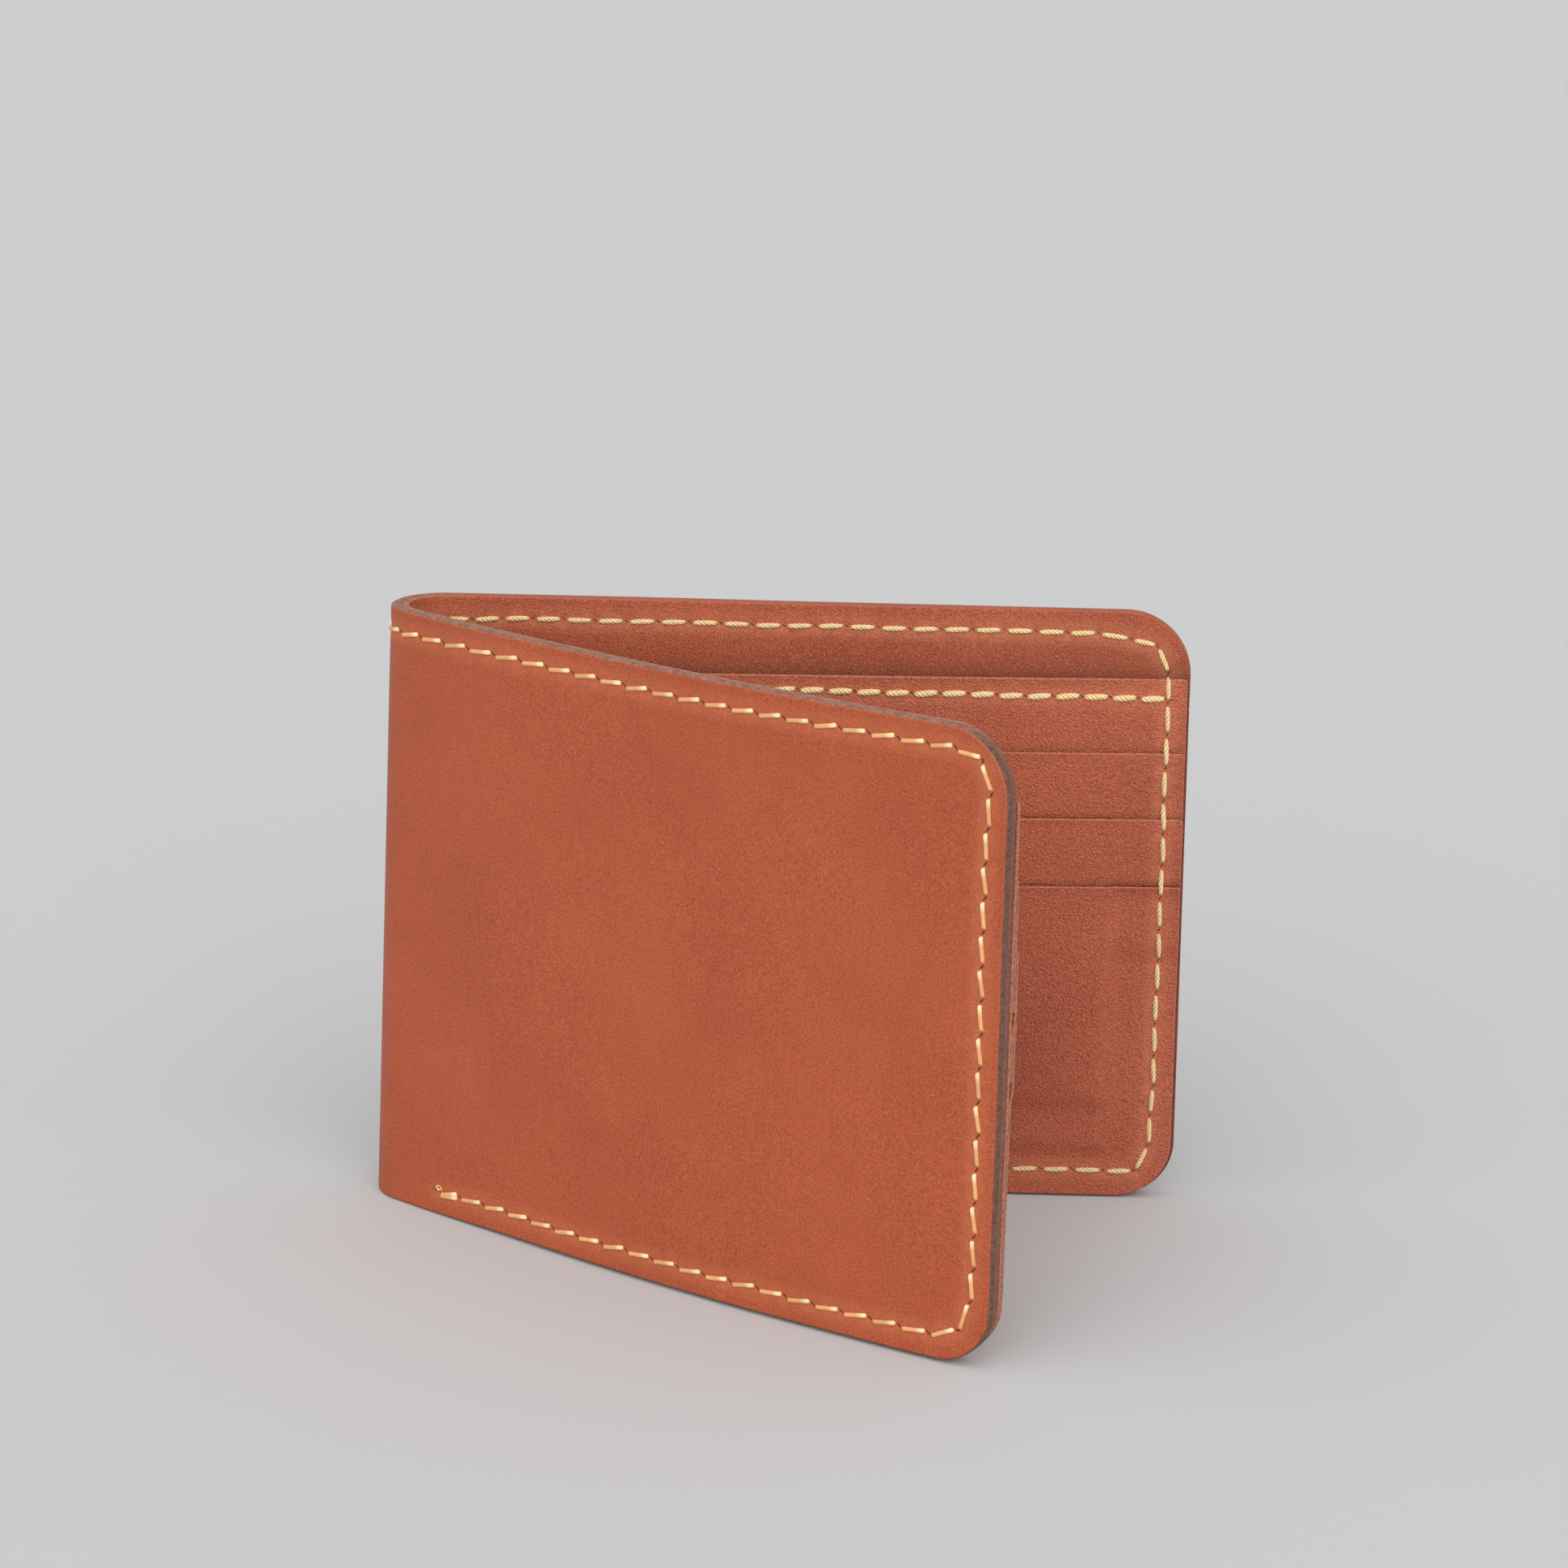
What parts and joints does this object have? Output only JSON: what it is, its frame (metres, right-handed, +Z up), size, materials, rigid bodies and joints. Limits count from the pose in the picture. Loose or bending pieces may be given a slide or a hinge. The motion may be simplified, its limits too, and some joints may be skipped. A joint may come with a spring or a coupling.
{
  "type": "bifold wallet",
  "caption": "Stitched leather bifold wallet standing half open, with a full-length bill compartment and stepped card pockets on both halves.",
  "frame": {"origin": "middle of the bottom of the wallet's box as it stands half open on its bottom edges", "axes": "+Z up along the wallet's height, +X along the rear half from the fold to its free edge, +Y out of the rear half's outer face"},
  "size_m": [0.116, 0.0798, 0.088],
  "materials": {
    "shell_leather": "smooth tan vegetable tanned leather, satin, burnished dark edges",
    "lining_leather": "rust coloured lining leather, matt, fine pebble grain",
    "pocket_leather": "thin rust coloured pocket leather, satin, fine pebble grain",
    "outer_thread": "waxed golden yellow sewing thread, satin",
    "inner_thread": "waxed pale yellow twisted sewing thread"
  },
  "bodies": {
    "rear_half": {"rear_shell": "shell_leather", "rear_lining": "lining_leather", "rear_divider": "pocket_leather", "rear_upper_card_pocket": "pocket_leather", "rear_middle_card_pocket": "pocket_leather", "rear_lower_card_pocket": "pocket_leather", "rear_edge_thread_outside": "outer_thread", "rear_edge_thread_inside": "inner_thread", "rear_divider_thread": "inner_thread", "rear_gutter_thread": "inner_thread", "rear_upper_pocket_foot_thread": "inner_thread", "rear_middle_pocket_foot_thread": "inner_thread"},
    "spine": {"spine_shell": "shell_leather", "spine_lining": "lining_leather", "spine_divider": "pocket_leather", "spine_edge_thread_outside": "outer_thread", "spine_edge_thread_inside": "inner_thread", "spine_divider_thread": "inner_thread"},
    "front_half": {"front_shell": "shell_leather", "front_lining": "lining_leather", "front_divider": "pocket_leather", "front_upper_card_pocket": "pocket_leather", "front_middle_card_pocket": "pocket_leather", "front_lower_card_pocket": "pocket_leather", "front_edge_thread_outside": "outer_thread", "front_edge_thread_inside": "inner_thread", "front_divider_thread": "inner_thread", "front_gutter_thread": "inner_thread", "front_upper_pocket_foot_thread": "inner_thread", "front_middle_pocket_foot_thread": "inner_thread"}
  },
  "joints": [
    {"name": "rear_fold", "type": "hinge", "parent": "rear_half", "child": "spine", "pos_m": [-0.05393, 0.03773, 0.044], "axis": [0, 0, 1], "range_deg": [-71.1, 18.5]},
    {"name": "front_fold", "type": "hinge", "parent": "spine", "child": "front_half", "pos_m": [-0.0569, 0.03045, 0.044], "axis": [0, 0, 1], "range_deg": [-71.1, 18.5]}
  ],
  "couplings": [
    {"joint": "front_fold", "follows": "rear_fold", "ratio": 1}
  ]
}
